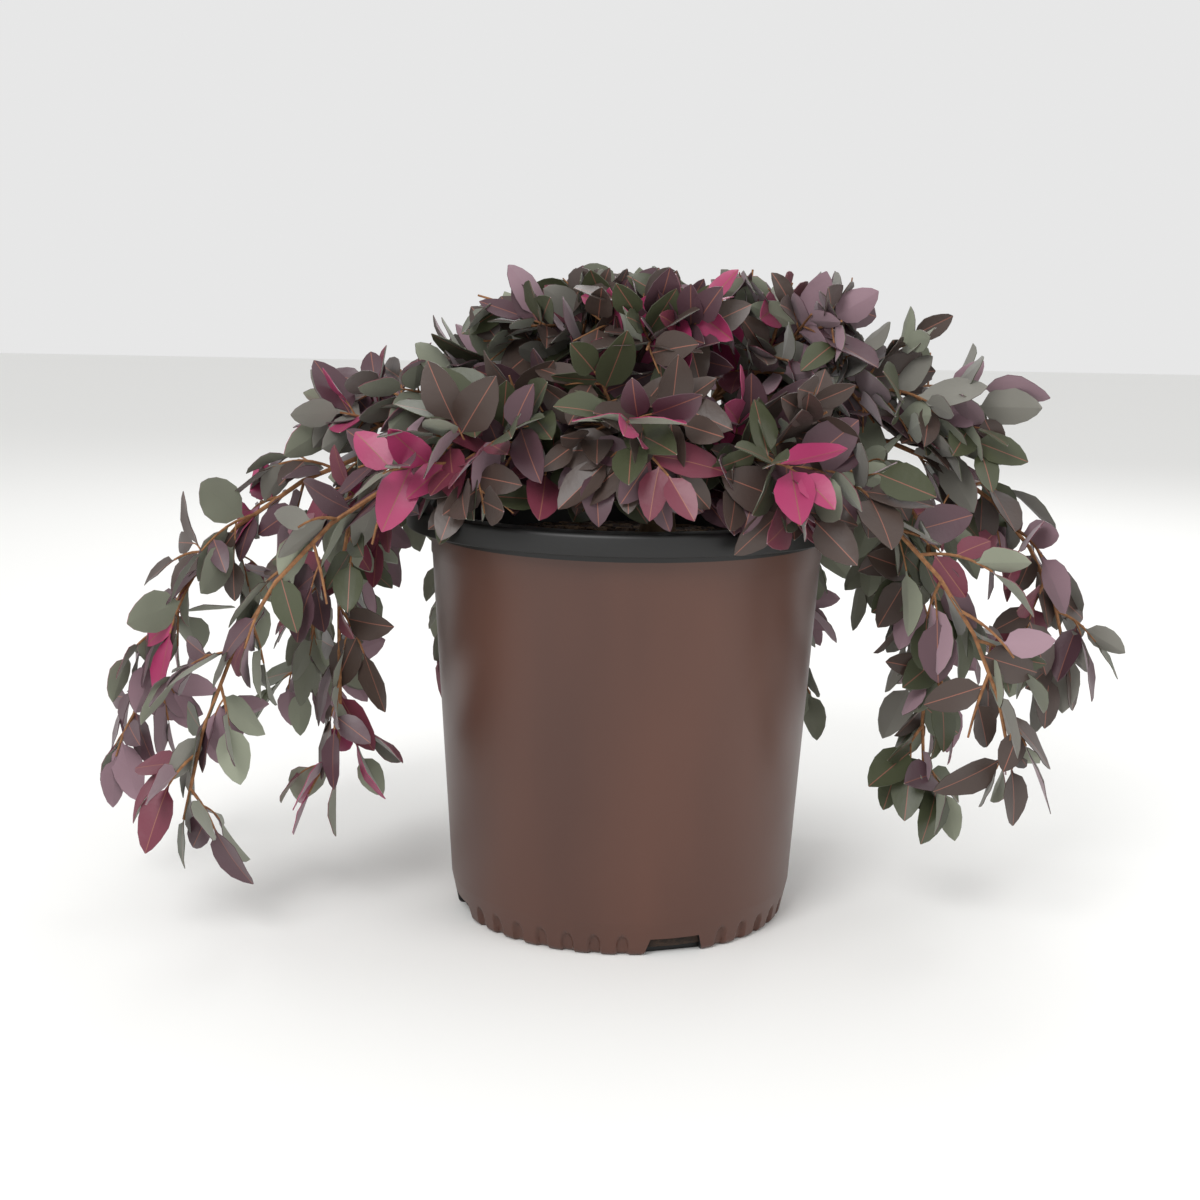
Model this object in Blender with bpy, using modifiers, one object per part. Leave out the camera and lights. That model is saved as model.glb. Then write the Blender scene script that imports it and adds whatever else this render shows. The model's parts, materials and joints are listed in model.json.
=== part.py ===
"""Weeping purple fringe flower in a two-gallon nursery pot.

Metres, +Z up. The pot stands on z = 0 with its axis on the origin. The viewer of the front looks
along +Y, with +X to the right. An azimuth is in degrees from the front, positive to the right.
"""

import math
import random
from collections import namedtuple

import bmesh
import bpy
import numpy as np
from mathutils import Matrix, Vector
from mathutils.bvhtree import BVHTree

# Pot
POT_HEIGHT = 0.235
LIP_RADIUS = 0.125
LIP_DEPTH = 0.012
LIP_ROUND = 0.0025
BODY_RADIUS = 0.1116
STEP_HEIGHTS = (0.218, 0.2075)
STEP_SIZE = 0.0006
HEEL_RADIUS = 0.0985
HEEL_HEIGHT = 0.020
FOOT_RADIUS = 0.095
FOOT_ROUND = 0.004
WALL = 0.0025
FLOOR = 0.004
POT_SIDES = 40

# Drain notches, cut out of the foot
NOTCH_COUNT = 4
NOTCH_AZIMUTH = 18.0
NOTCH_HEIGHT = 0.010
NOTCH_FOOT_WIDTH = 0.040
NOTCH_TOP_WIDTH = 0.028
NOTCH_INNER_RADIUS = 0.087

# Soil
SOIL_LEVEL = 0.213
SOIL_DISH = 0.004
SOIL_FLAT_RADIUS = 0.045

# Gap between solids that meet
GAP = 0.0003

# Trunk
TRUNK_FOOT = Vector((0.018, 0.006, SOIL_LEVEL + GAP))
TRUNK_TOP = Vector((0.046, 0.002, 0.292))
TRUNK_FOOT_RADIUS = 0.0085
TRUNK_TOP_RADIUS = 0.0042
ROOT_FLARE = 0.0055
FLARE_HEIGHT = 0.008
TRUNK_POINTS = 10

# Boughs
BOUGH_POINTS = 6
BOUGH_TAPER = 0.45
FORK_LEAN = 0.55

# Foliage
STEM_RADIUS = 0.0019
STEM_TIP_RADIUS = 0.0012
TWIG_RADIUS = 0.0011
TWIG_TIP_RADIUS = 0.0009
TIP_LEAF_SINK = 0.0005
ROOT_SINK = 0.0003
STEM_POINTS = 8
STEM_LEAD = 0.004
TWIG_POINTS = 3
LEAST_TWIGS = 5
TRUNK_SIDES = 8
BOUGH_SIDES = 5
TWIG_SIDES = 3
TWIG_ANGLE = 52.0
LEAF_LENGTH = 0.047
LEAF_WIDTH = 0.030
LEAF_THICKNESS = 0.0014
LEAF_ANGLE = 50.0
FIRST_TWIG = 0.10
LAST_TWIG = 0.88
BARE_FOOT = 0.012
FIRST_LEAF = 0.010
NECK_LENGTH = 0.004
GOLDEN_ANGLE = 137.508
TWIG_TURN = 45.0
TWIG_ROLL_SWING = 15.0
TWIG_LEAN_SWING = 8.0
TWIG_LENGTHS = (0.8, 1.1)
TWIG_SHORTENING = 0.25
LEAF_TURN = 40.0
LEAF_ROLL_SWING = 30.0
LEAF_LEAN_SWING = 12.0
TIP_LEAN_SWING = 8.0
LEAF_DROOPS = (0.1, 0.5)
TRIES = 12
TRY_SHRINK = 0.025
SEED = 20261125

# The room that the foliage keeps to
CROWN_TOP = 0.368
CROWN_FOOT = 0.012
FRONT_CLEAR_AZIMUTH = 62.0
FRONT_CLEAR_HEIGHT = 0.222
SPACE_MARGIN = 0.0006
TWIG_MARGIN = 0.0015
LIMB_MARGIN = 0.0008

# Curves and welds
HANDLE_SHARE = 0.40
TURN_WELD = 0.00005
TUBE_WELD = 0.00001

UP = Vector((0.0, 0.0, 1.0))

# A limb runs from its parent to a crest, and its mass of foliage goes on from there to a tip.
# Crest and tip are azimuth, reach from the pot's axis and height, in degrees and millimetres.
Limb = namedtuple("Limb", "name parent share radius crest tip habit spread")
LIMBS = (
    Limb("left", "trunk", 0.56, 3.2, (-92, 84, 276), (-91, 290, 88), "weeping", 56),
    Limb("left_front", "left", 0.46, 2.4, (-64, 88, 268), (-70, 252, 70), "weeping", 54),
    Limb("left_back", "left", 0.56, 2.4, (-124, 88, 272), (-122, 246, 92), "weeping", 58),
    Limb("left_inner", "left", 0.72, 2.2, (-78, 112, 260), (-76, 166, 84), "weeping", 44),
    Limb("left_shoulder", "trunk", 0.80, 2.4, (-98, 40, 290), (-88, 154, 270), "arching", 50),
    Limb("right", "trunk", 0.62, 3.2, (90, 106, 280), (90, 256, 146), "weeping", 52),
    Limb("right_front", "right", 0.42, 2.4, (60, 96, 266), (66, 226, 108), "weeping", 54),
    Limb("right_back", "right", 0.52, 2.4, (122, 102, 274), (119, 236, 100), "weeping", 58),
    Limb("right_inner", "right", 0.72, 2.2, (80, 124, 262), (82, 174, 80), "weeping", 44),
    Limb("right_shoulder", "trunk", 0.88, 2.4, (84, 84, 298), (87, 188, 286), "arching", 50),
    Limb("front_left", "trunk", 0.46, 2.4, (-42, 34, 264), (-42, 136, 264), "arching", 56),
    Limb("front_right", "trunk", 0.40, 2.4, (44, 60, 260), (40, 140, 262), "arching", 56),
    Limb("front", "trunk", 0.68, 2.2, (-6, 28, 280), (0, 118, 280), "arching", 54),
    Limb("back", "trunk", 0.50, 3.0, (180, 66, 280), (180, 206, 108), "weeping", 60),
    Limb("back_left", "back", 0.50, 2.4, (-152, 78, 272), (-150, 222, 104), "weeping", 60),
    Limb("back_right", "back", 0.62, 2.4, (150, 88, 274), (150, 224, 100), "weeping", 60),
    Limb("rear_left", "trunk", 0.70, 2.2, (-138, 36, 286), (-140, 124, 296), "arching", 56),
    Limb("rear_right", "trunk", 0.74, 2.2, (134, 68, 290), (138, 142, 298), "arching", 56),
    Limb("top_left", "trunk", 0.90, 2.0, (-72, 10, 302), (-62, 52, 342), "upright", 54),
    Limb("top_front", "trunk", 0.82, 2.0, (20, 38, 300), (10, 66, 342), "upright", 52),
    Limb("top_back", "trunk", 0.86, 2.0, (160, 50, 302), (178, 76, 342), "upright", 56),
    Limb("top_right", "trunk", 1.00, 4.2, (87, 46, 292), (82, 112, 342), "upright", 54),
)

# How a mass grows: which way it points at its crest and at its tip, as shares of outward and up,
# how much its twigs hang, and how far apart its twigs and leaves are.
Habit = namedtuple("Habit", "leave arrive droop twig_step leaf_step twig_share")
HABITS = {
    "weeping": Habit((1.0, -0.15), (0.16, -1.0), 0.75, 0.036, 0.019, 0.85),
    "arching": Habit((1.0, 0.30), (1.0, -0.55), 0.30, 0.017, 0.011, 1.0),
    "upright": Habit((0.55, 1.0), (0.75, 0.60), 0.0, 0.014, 0.011, 1.0),
}


def clear_scene():
    for obj in list(bpy.data.objects):
        bpy.data.objects.remove(obj, do_unlink=True)


def new_collection(name):
    collection = bpy.data.collections.new(name)
    bpy.context.scene.collection.children.link(collection)
    return collection


def make_material(name, colour, roughness):
    material = bpy.data.materials.new(name)
    material.use_nodes = True
    shader = material.node_tree.nodes["Principled BSDF"]
    shader.inputs["Base Color"].default_value = (*colour, 1.0)
    shader.inputs["Roughness"].default_value = roughness
    shader.inputs["Metallic"].default_value = 0.0
    return material


def polar(azimuth, reach, height):
    """The point at an azimuth in degrees, and a reach and height in millimetres."""
    angle = math.radians(azimuth)
    return Vector((reach * math.sin(angle), -reach * math.cos(angle), height)) / 1000


def outward(azimuth):
    return polar(azimuth, 1000, 0)


def bezier(start, leave, arrive, end, count):
    """Points along a cubic that leaves and arrives in the directions given."""
    reach = HANDLE_SHARE * (end - start).length
    a, b, c, d = start, start + reach * leave, end - reach * arrive, end
    points = []
    for step in range(count):
        t = step / (count - 1)
        s = 1 - t
        points.append(s * s * s * a + 3 * s * s * t * b + 3 * s * t * t * c + t * t * t * d)
    return points


def along(points, share):
    """The point and the direction at a share of the way along a path."""
    place = min(max(share, 0.0), 1.0) * (len(points) - 1)
    index = min(int(place), len(points) - 2)
    step = points[index + 1] - points[index]
    return points[index] + (place - index) * step, step.normalized()


def path_length(points):
    return sum((b - a).length for a, b in zip(points, points[1:]))


def turned(name, profile, sides, collection, material):
    """A solid turned from a profile of radius and height, from the axis round to the axis."""
    mesh = bpy.data.meshes.new(name)
    vertices = [(radius, 0.0, height) for radius, height in profile]
    mesh.from_pydata(vertices, [(i, i + 1) for i in range(len(vertices) - 1)], [])
    obj = bpy.data.objects.new(name, mesh)
    collection.objects.link(obj)
    screw = obj.modifiers.new("Turn", "SCREW")
    screw.axis = "Z"
    screw.steps = sides
    screw.render_steps = sides
    screw.use_merge_vertices = True
    screw.merge_threshold = TURN_WELD
    mesh.materials.append(material)
    return obj


def make_pot(collection, cutters, material):
    """The pot: a tapered wall on a flat floor, with a lip that overhangs and two step rings."""
    lip_foot = POT_HEIGHT - LIP_DEPTH
    upper_step, lower_step = STEP_HEIGHTS
    profile = [
        (0.0, FLOOR),
        (FOOT_RADIUS - WALL, FLOOR),
        (HEEL_RADIUS - WALL, HEEL_HEIGHT),
        (BODY_RADIUS - WALL, lip_foot),
        (BODY_RADIUS, POT_HEIGHT),
        (LIP_RADIUS - LIP_ROUND, POT_HEIGHT - STEP_SIZE),
        (LIP_RADIUS, POT_HEIGHT - LIP_ROUND),
        (LIP_RADIUS, lip_foot),
        (LIP_RADIUS - LIP_ROUND, lip_foot - STEP_SIZE),
        (BODY_RADIUS, lip_foot - STEP_SIZE),
        (BODY_RADIUS, upper_step),
        (BODY_RADIUS - STEP_SIZE, upper_step - STEP_SIZE),
        (BODY_RADIUS - STEP_SIZE, lower_step),
        (BODY_RADIUS - 2 * STEP_SIZE, lower_step - STEP_SIZE),
        (HEEL_RADIUS, HEEL_HEIGHT),
        (FOOT_RADIUS, FOOT_ROUND),
        (FOOT_RADIUS - FOOT_ROUND, 0.0),
        (0.0, 0.0),
    ]
    pot = turned("pot", profile, POT_SIDES, collection, material)
    for index in range(NOTCH_COUNT):
        azimuth = NOTCH_AZIMUTH + index * 360 / NOTCH_COUNT
        cut = pot.modifiers.new("Drain notch", "BOOLEAN")
        cut.operation = "DIFFERENCE"
        cut.object = make_notch(azimuth, cutters)
    return pot


def make_notch(azimuth, cutters):
    """A cutter with slanted sides that opens the foot of the wall and the edge of the floor."""
    depth = LIP_RADIUS - NOTCH_INNER_RADIUS
    mesh = bpy.data.meshes.new("notch")
    form = bmesh.new()
    bmesh.ops.create_cube(form, size=2.0)
    for vertex in form.verts:
        top = vertex.co.z > 0
        half_width = (NOTCH_TOP_WIDTH if top else NOTCH_FOOT_WIDTH) / 2
        vertex.co.x *= half_width
        vertex.co.y *= depth / 2
        vertex.co.z = NOTCH_HEIGHT if top else -NOTCH_HEIGHT
    form.to_mesh(mesh)
    form.free()
    obj = bpy.data.objects.new("notch", mesh)
    cutters.objects.link(obj)
    obj.location = outward(azimuth) * (NOTCH_INNER_RADIUS + depth / 2)
    obj.rotation_euler.z = math.radians(azimuth)
    obj.hide_render = True
    obj.display_type = "WIRE"
    return obj


def make_soil(collection, material):
    """The soil: it fills the pot to below the lip, and its top dips towards the wall."""
    inner_foot = FOOT_RADIUS - WALL - GAP
    inner_heel = HEEL_RADIUS - WALL - GAP
    edge_height = SOIL_LEVEL - SOIL_DISH
    rise = (edge_height - HEEL_HEIGHT) / (POT_HEIGHT - LIP_DEPTH - HEEL_HEIGHT)
    inner_edge = inner_heel + rise * (BODY_RADIUS - HEEL_RADIUS) - GAP
    profile = [
        (0.0, SOIL_LEVEL),
        (SOIL_FLAT_RADIUS, SOIL_LEVEL),
        (inner_edge, edge_height),
        (inner_heel, HEEL_HEIGHT),
        (inner_foot, FLOOR + GAP),
        (0.0, FLOOR + GAP),
    ]
    return turned("soil", profile, POT_SIDES, collection, material)


def make_tube(name, points, radii, sides, collection):
    """A tapered tube along a path, as a mesh whose caps are welded on."""
    outline = bpy.data.curves.new(name + " outline", "CURVE")
    outline.dimensions = "3D"
    ring = outline.splines.new("POLY")
    ring.points.add(sides - 1)
    for index, point in enumerate(ring.points):
        angle = 2 * math.pi * index / sides
        point.co = (math.cos(angle), math.sin(angle), 0.0, 1.0)
    ring.use_cyclic_u = True
    section = bpy.data.objects.new(name + " outline", outline)
    collection.objects.link(section)

    curve = bpy.data.curves.new(name, "CURVE")
    curve.dimensions = "3D"
    curve.bevel_mode = "OBJECT"
    curve.bevel_object = section
    curve.use_fill_caps = True
    spline = curve.splines.new("POLY")
    spline.points.add(len(points) - 1)
    for place, point, radius in zip(spline.points, points, radii):
        place.co = (*point, 1.0)
        place.radius = radius
    guide = bpy.data.objects.new(name + " guide", curve)
    collection.objects.link(guide)

    graph = bpy.context.evaluated_depsgraph_get()
    mesh = bpy.data.meshes.new_from_object(guide.evaluated_get(graph))
    form = bmesh.new()
    form.from_mesh(mesh)
    bmesh.ops.remove_doubles(form, verts=form.verts, dist=TUBE_WELD)
    bmesh.ops.recalc_face_normals(form, faces=form.faces)
    form.to_mesh(mesh)
    form.free()
    obj = bpy.data.objects.new(name, mesh)
    obj.matrix_world = guide.matrix_world
    collection.objects.link(obj)
    bpy.data.objects.remove(guide)
    bpy.data.objects.remove(section)
    return obj


def taper(start, end, count):
    return [start + (end - start) * step / (count - 1) for step in range(count)]


def make_trunk(collection, material):
    """The short leaning trunk, cut flat at the soil, with a flare where its roots begin."""
    points = bezier(TRUNK_FOOT, UP, (TRUNK_TOP - TRUNK_FOOT).normalized(), TRUNK_TOP, TRUNK_POINTS)
    points[1].xy = TRUNK_FOOT.xy
    radii = []
    for point, radius in zip(points, taper(TRUNK_FOOT_RADIUS, TRUNK_TOP_RADIUS, TRUNK_POINTS)):
        height = point.z - TRUNK_FOOT.z
        radii.append(radius + ROOT_FLARE * math.exp(-height / FLARE_HEIGHT))
    obj = make_tube("trunk", points, radii, TRUNK_SIDES, collection)
    obj.data.materials.append(material)
    return points, radii


def make_clearance(name, points, radii, cutters):
    """A limb's own shape, fatter by the gap, which cuts the roots of the boughs that it carries."""
    fatter = [radius + GAP for radius in radii]
    obj = make_tube(name + " clearance", points, fatter, TRUNK_SIDES, cutters)
    obj.hide_render = True
    obj.display_type = "WIRE"
    return obj


def heading(limb, end):
    """The direction of a mass at its crest, end 0, or at its tip, end 1."""
    place = limb.tip if end else limb.crest
    habit = HABITS[limb.habit]
    out, up = habit.arrive if end else habit.leave
    return (out * outward(place[0]) + up * UP).normalized()


def make_bough(limb, paths, collection, cutters, material):
    """One tapering limb, from the axis of its parent to its crest, cut clear of the parent."""
    points, radii = paths[limb.parent]
    root, way = along(points, limb.share)
    crest = polar(*limb.crest)
    leave = (FORK_LEAN * way + (crest - root).normalized()).normalized()
    path = bezier(root, leave, heading(limb, 0), crest, BOUGH_POINTS)
    root_radius = limb.radius / 1000
    tip_radius = max(STEM_RADIUS, BOUGH_TAPER * root_radius)
    widths = taper(root_radius, tip_radius, BOUGH_POINTS)
    obj = make_tube(limb.name + "_bough", path, widths, BOUGH_SIDES, collection)
    obj.data.materials.append(material)
    cut = obj.modifiers.new("Fork", "BOOLEAN")
    cut.operation = "DIFFERENCE"
    cut.object = cutters.objects[limb.parent + " clearance"]
    paths[limb.name] = (path, widths)
    make_clearance(limb.name, path, widths, cutters)
    return obj


def stem_path(limb, paths):
    """The stem of a mass, which goes straight on from just past the tip of its bough."""
    points, _ = paths[limb.name if limb.name in paths else limb.parent]
    way = (points[-1] - points[-2]).normalized()
    start = points[-1] + GAP * way
    bend = start + STEM_LEAD * way
    return [start] + bezier(bend, way, heading(limb, 1), polar(*limb.tip), STEM_POINTS - 1)


def tree_of(obj):
    return BVHTree.FromObject(obj, bpy.context.evaluated_depsgraph_get())


class Room:
    """The space of one mass: nearer its own stem than any other, within its spread, clear of limbs."""

    def __init__(self, limb, stems, solids):
        self.spread = limb.spread / 1000
        self.own = self.segments([stems[limb.name]])
        self.others = self.segments([path for name, path in stems.items() if name != limb.name])
        self.solids = solids

    @staticmethod
    def segments(paths):
        starts = [point for path in paths for point in path[:-1]]
        ends = [point for path in paths for point in path[1:]]
        return np.array(starts), np.array(ends) - np.array(starts)

    @staticmethod
    def nearest(points, segments):
        starts, steps = segments
        offset = points[:, None, :] - starts[None]
        share = np.einsum("ijk,jk->ij", offset, steps) / np.einsum("jk,jk->j", steps, steps)
        offset -= np.clip(share, 0, 1)[:, :, None] * steps[None]
        return np.sqrt((offset * offset).sum(axis=2)).min(axis=1)

    def holds(self, points, margin):
        points = np.array(points)
        own = self.nearest(points, self.own)
        if (own > self.spread).any():
            return False
        if (self.nearest(points, self.others) < own + 2 * margin).any():
            return False
        if points[:, 2].max() > CROWN_TOP or points[:, 2].min() < CROWN_FOOT:
            return False
        reach = np.hypot(points[:, 0], points[:, 1])
        azimuth = np.degrees(np.arctan2(points[:, 0], -points[:, 1]))
        low = points[:, 2] < FRONT_CLEAR_HEIGHT
        if (low & (np.abs(azimuth) < FRONT_CLEAR_AZIMUTH) & (reach < 2 * LIP_RADIUS)).any():
            return False
        over_pot = (reach < LIP_RADIUS + LIMB_MARGIN) & (points[:, 2] < POT_HEIGHT + LIMB_MARGIN)
        if over_pot.any():
            return False
        for point in points:
            for solid in self.solids:
                if solid.find_nearest(Vector(point), LIMB_MARGIN)[0] is not None:
                    return False
        return True

    def clears(self, tree):
        return not any(solid.overlap(tree) for solid in self.solids)


def make_leaf_mesh():
    """A kite-shaped blade, folded a little along its midrib, thickest near its root."""
    mesh = bpy.data.meshes.new("leaf")
    form = bmesh.new()
    bmesh.ops.create_uvsphere(form, u_segments=4, v_segments=2, radius=1.0)
    for vertex in form.verts:
        across, upward = vertex.co.y, vertex.co.z
        if abs(across) > 0.5:
            vertex.co = (0.44 * LEAF_LENGTH, across * LEAF_WIDTH / 2, 0.12 * LEAF_WIDTH)
        elif abs(upward) > 0.5:
            vertex.co = (0.16 * LEAF_LENGTH, 0.0, upward * LEAF_THICKNESS / 2)
        elif vertex.co.x > 0:
            vertex.co = (LEAF_LENGTH, 0.0, -0.10 * LEAF_LENGTH)
        else:
            vertex.co = (0.0, 0.0, 0.0)
    form.to_mesh(mesh)
    form.free()
    return mesh


def sideways(way, place):
    """The level direction across a twig, and the one that faces up and out of the crown."""
    out = Vector((place.x, place.y, 0.0))
    out = out.normalized() if out.length > 0.01 else Vector((0.0, -1.0, 0.0))
    side = way.cross(out + 0.5 * UP)
    side = side.normalized() if side.length > 0.05 else way.orthogonal().normalized()
    face = side.cross(way)
    return (side, face) if face.dot(out + 0.5 * UP) > 0 else (side, -face)


def leaf_frame(place, way, lean, roll, droop):
    """The matrix of a leaf that leans out of a twig, rolled about it, with its blade facing out."""
    side, face = sideways(way, place)
    turn = Matrix.Rotation(roll, 3, way)
    point = math.cos(abs(lean)) * way + math.sin(lean) * (turn @ side) - droop * UP
    point.normalize()
    face = turn @ face
    face = (face - face.dot(point) * point).normalized()
    across = face.cross(point)
    frame = Matrix((point, across, face)).transposed().to_4x4()
    frame.translation = place - ROOT_SINK * point
    return frame


def swing(rng, most):
    return rng.uniform(-most, most)


def grow_twigs(limb, stem, stem_tree, room, rng, parts):
    """Side twigs by the golden angle round the stem. One that leaves the room is turned or skipped."""
    habit = HABITS[limb.habit]
    twigs = [(stem, stem_tree)]
    count = max(LEAST_TWIGS, round(path_length(stem) / habit.twig_step))
    for index in range(count):
        share = FIRST_TWIG + (LAST_TWIG - FIRST_TWIG) * index / (count - 1)
        root, way = along(stem, share)
        side, face = sideways(way, root)
        for attempt in range(TRIES):
            roll = math.radians(GOLDEN_ANGLE * index + TWIG_TURN * attempt + swing(rng, TWIG_ROLL_SWING))
            lean = math.radians(TWIG_ANGLE + swing(rng, TWIG_LEAN_SWING))
            leave = math.cos(lean) * way
            leave += math.sin(lean) * (math.cos(roll) * side + math.sin(roll) * face)
            arrive = (leave - habit.droop * UP).normalized()
            length = habit.twig_share * room.spread * rng.uniform(*TWIG_LENGTHS)
            length *= 1 - TWIG_SHORTENING * share
            tip = root + length * (0.5 * leave + 0.5 * arrive)
            points = bezier(root, leave, arrive, tip, TWIG_POINTS)
            if not room.holds(points[1:], TWIG_MARGIN):
                continue
            widths = taper(TWIG_RADIUS, TWIG_TIP_RADIUS, TWIG_POINTS)
            twig = make_tube("twig", points, widths, TWIG_SIDES, parts)
            tree = tree_of(twig)
            if room.clears(tree) and not any(tree.overlap(other) for _, other in twigs[1:]):
                twigs.append((points, tree))
                break
            bpy.data.objects.remove(twig)
    return twigs


def grow_leaves(limb, twigs, room, rng, leaf, parts):
    """Leaves on alternate sides of every twig, and one at its tip, where each has room."""
    habit = HABITS[limb.habit]
    blades = []
    for twig_index, (points, _) in enumerate(twigs):
        others = [tree for index, (_, tree) in enumerate(twigs) if index != twig_index]
        length = path_length(points)
        count = max(1, int((length - BARE_FOOT) / habit.leaf_step))
        for index in range(count + 1):
            at_tip = index == count
            share = 1.0 if at_tip else (FIRST_LEAF + habit.leaf_step * (index + 0.5)) / length
            place, way = along(points, share)
            if at_tip:
                place = place - TIP_LEAF_SINK * way
            for attempt in range(TRIES):
                side = (-1) ** (index + twig_index)
                lean = side * math.radians(LEAF_ANGLE + swing(rng, LEAF_LEAN_SWING))
                if at_tip:
                    lean = math.radians(swing(rng, TIP_LEAN_SWING))
                roll = math.radians(swing(rng, LEAF_ROLL_SWING) + LEAF_TURN * attempt)
                droop = habit.droop * rng.uniform(*LEAF_DROOPS)
                frame = leaf_frame(place, way, lean, roll, droop)
                frame = frame @ Matrix.Scale(1 - TRY_SHRINK * attempt, 4)
                corners = [frame @ vertex.co for vertex in leaf.vertices]
                free = [c for c in corners if (c - frame.translation).length > NECK_LENGTH]
                if not room.holds(free, SPACE_MARGIN):
                    continue
                tree = BVHTree.FromPolygons(corners, [face.vertices for face in leaf.polygons])
                if room.clears(tree) and not any(tree.overlap(t) for t in others + blades):
                    blade = bpy.data.objects.new("leaf", leaf)
                    blade.matrix_world = frame
                    parts.objects.link(blade)
                    blades.append(tree)
                    break


def join_parts(body, parts, material):
    """One union of the stem with its twigs and leaves, applied, with the parts then removed."""
    join = body.modifiers.new("Join", "BOOLEAN")
    join.operation = "UNION"
    join.operand_type = "COLLECTION"
    join.collection = parts
    graph = bpy.context.evaluated_depsgraph_get()
    joined = bpy.data.meshes.new_from_object(body.evaluated_get(graph))
    body.modifiers.clear()
    body.data = joined
    joined.materials.clear()
    joined.materials.append(material)
    for obj in list(parts.objects):
        bpy.data.objects.remove(obj)
    bpy.data.collections.remove(parts)


def make_mass(limb, stems, solids, leaf, collection, material):
    """One mass of foliage, grown from its own seed inside its own room."""
    rng = random.Random(f"{SEED} {limb.name}")
    room = Room(limb, stems, solids)
    parts = new_collection(limb.name + " parts")
    stem = stems[limb.name]
    widths = taper(STEM_RADIUS, STEM_TIP_RADIUS, STEM_POINTS)
    body = make_tube(limb.name + "_foliage", stem, widths, TWIG_SIDES, collection)
    twigs = grow_twigs(limb, stem, tree_of(body), room, rng, parts)
    grow_leaves(limb, twigs, room, rng, leaf, parts)
    join_parts(body, parts, material)


def main():
    clear_scene()
    plant = new_collection("potted fringe flower")
    cutters = new_collection("cutters")
    brown = make_material("pot plastic", (0.19, 0.075, 0.045), 0.42)
    dark = make_material("potting soil", (0.035, 0.022, 0.015), 0.95)
    bark = make_material("bark", (0.16, 0.10, 0.055), 0.85)
    foliage = make_material("leaves", (0.075, 0.055, 0.045), 0.55)

    pot = make_pot(plant, cutters, brown)
    make_soil(plant, dark)
    paths = {"trunk": make_trunk(plant, bark)}
    make_clearance("trunk", *paths["trunk"], cutters)
    boughs = []
    for limb in LIMBS:
        if limb.share < 1.0:
            boughs.append(make_bough(limb, paths, plant, cutters, bark))

    stems = {limb.name: stem_path(limb, paths) for limb in LIMBS}
    solids = [tree_of(obj) for obj in [pot, plant.objects["trunk"]] + boughs]
    leaf = make_leaf_mesh()
    for limb in LIMBS:
        make_mass(limb, stems, solids, leaf, plant, foliage)


main()
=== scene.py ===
"""Looks of a weeping purple fringe flower in a nursery pot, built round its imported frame.

Metres, +Z up. The viewer of the front looks along +Y, with +X to the right. An azimuth is in
degrees from the front, positive to the right. The foliage grows by the same rule as the CAD
model's, carried on to finer twigs and smaller leaves. Its room is the CAD model's with looser
borders, and its leaves and twigs aren't tested against each other.
"""

import json
import math
import random
from collections import namedtuple

import bpy
import numpy as np
from mathutils import Matrix, Vector

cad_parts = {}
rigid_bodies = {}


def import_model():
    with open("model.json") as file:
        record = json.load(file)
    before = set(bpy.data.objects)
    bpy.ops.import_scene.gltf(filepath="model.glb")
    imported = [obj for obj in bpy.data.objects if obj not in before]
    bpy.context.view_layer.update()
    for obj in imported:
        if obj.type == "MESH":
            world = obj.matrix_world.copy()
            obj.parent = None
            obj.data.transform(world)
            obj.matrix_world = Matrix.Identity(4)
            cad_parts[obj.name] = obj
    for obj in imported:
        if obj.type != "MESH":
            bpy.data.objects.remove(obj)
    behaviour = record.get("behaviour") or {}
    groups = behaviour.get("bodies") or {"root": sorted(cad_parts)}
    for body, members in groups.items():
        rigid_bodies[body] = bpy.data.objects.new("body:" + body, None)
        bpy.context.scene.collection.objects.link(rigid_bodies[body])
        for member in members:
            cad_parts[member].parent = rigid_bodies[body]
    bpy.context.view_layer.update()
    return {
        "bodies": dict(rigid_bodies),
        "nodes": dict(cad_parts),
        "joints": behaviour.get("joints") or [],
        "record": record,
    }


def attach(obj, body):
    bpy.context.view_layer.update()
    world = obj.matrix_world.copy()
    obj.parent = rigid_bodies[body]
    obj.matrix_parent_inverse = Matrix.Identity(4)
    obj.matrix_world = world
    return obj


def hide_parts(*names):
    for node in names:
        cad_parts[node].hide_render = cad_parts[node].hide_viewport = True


SEED = 20261126
UP = Vector((0.0, 0.0, 1.0))

# Pot
POT_HEIGHT = 0.235
LIP_RADIUS = 0.125
LIP_DEPTH = 0.012
LIP_ROUND = 0.0025
LIP_THICKNESS = 0.0016
BODY_RADIUS = 0.1116
STEP_HEIGHTS = (0.218, 0.2075)
STEP_SIZE = 0.0006
HEEL_RADIUS = 0.0985
HEEL_HEIGHT = 0.020
FOOT_RADIUS = 0.095
FOOT_ROUND = 0.004
WALL = 0.0025
FLOOR = 0.004
AXIS_RADIUS = 0.0005
POT_SIDES = 720
ARC_STEPS = 5

# Dents round the foot, seven between one drain notch and the next
DENT_PITCH = 9.2
DENTS = 7
DENT_WIDTH = 0.0072
DENT_HEIGHT = 0.0125
DENT_DEPTH = 0.0022
DENT_ROWS = 14
DENT_STEEPNESS = 2.2
DENT_ARCH = 4
DENT_INNER_RADIUS = HEEL_RADIUS - 2 * FOOT_ROUND

# Drain notches
NOTCH_COUNT = 4
NOTCH_AZIMUTH = 18.0
NOTCH_HEIGHT = 0.010
NOTCH_FOOT_WIDTH = 0.040
NOTCH_TOP_WIDTH = 0.028
NOTCH_INNER_RADIUS = 0.087

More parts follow.
